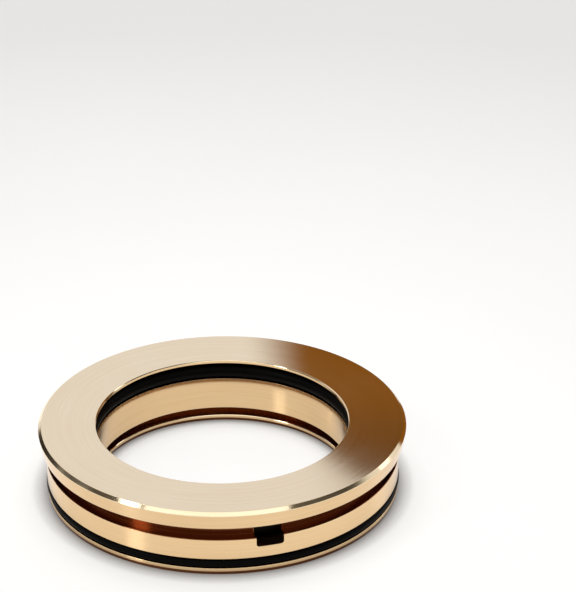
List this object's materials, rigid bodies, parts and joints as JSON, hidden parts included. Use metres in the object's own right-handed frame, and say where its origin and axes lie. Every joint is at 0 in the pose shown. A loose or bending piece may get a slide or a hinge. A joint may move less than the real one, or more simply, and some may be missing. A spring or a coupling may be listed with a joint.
{
  "type": "labyrinth bearing seal ring",
  "caption": "Bronze labyrinth seal ring with a turning flanged rotor, a fixed stator with a milled drain port, and black rubber rings in the bore and around the outside.",
  "frame": {"origin": "centre of the inboard face, on the shaft's axis", "axes": "+Z along the shaft from the inboard face to the outboard flange; -Y through the drain port"},
  "size_m": [0.1024, 0.1024, 0.02],
  "materials": {
    "bronze": "satin",
    "rubber": "satin"
  },
  "bodies": {
    "stator": {"stator": "bronze", "housing_o_ring": "rubber", "unitising_o_ring": "rubber"},
    "rotor": {"rotor": "bronze", "drive_o_ring": "rubber"}
  },
  "joints": [
    {"name": "rotor_spin", "type": "hinge", "parent": "stator", "child": "rotor", "pos_m": [0, 0, 0], "axis": [0, 0, 1], "continuous": true}
  ]
}
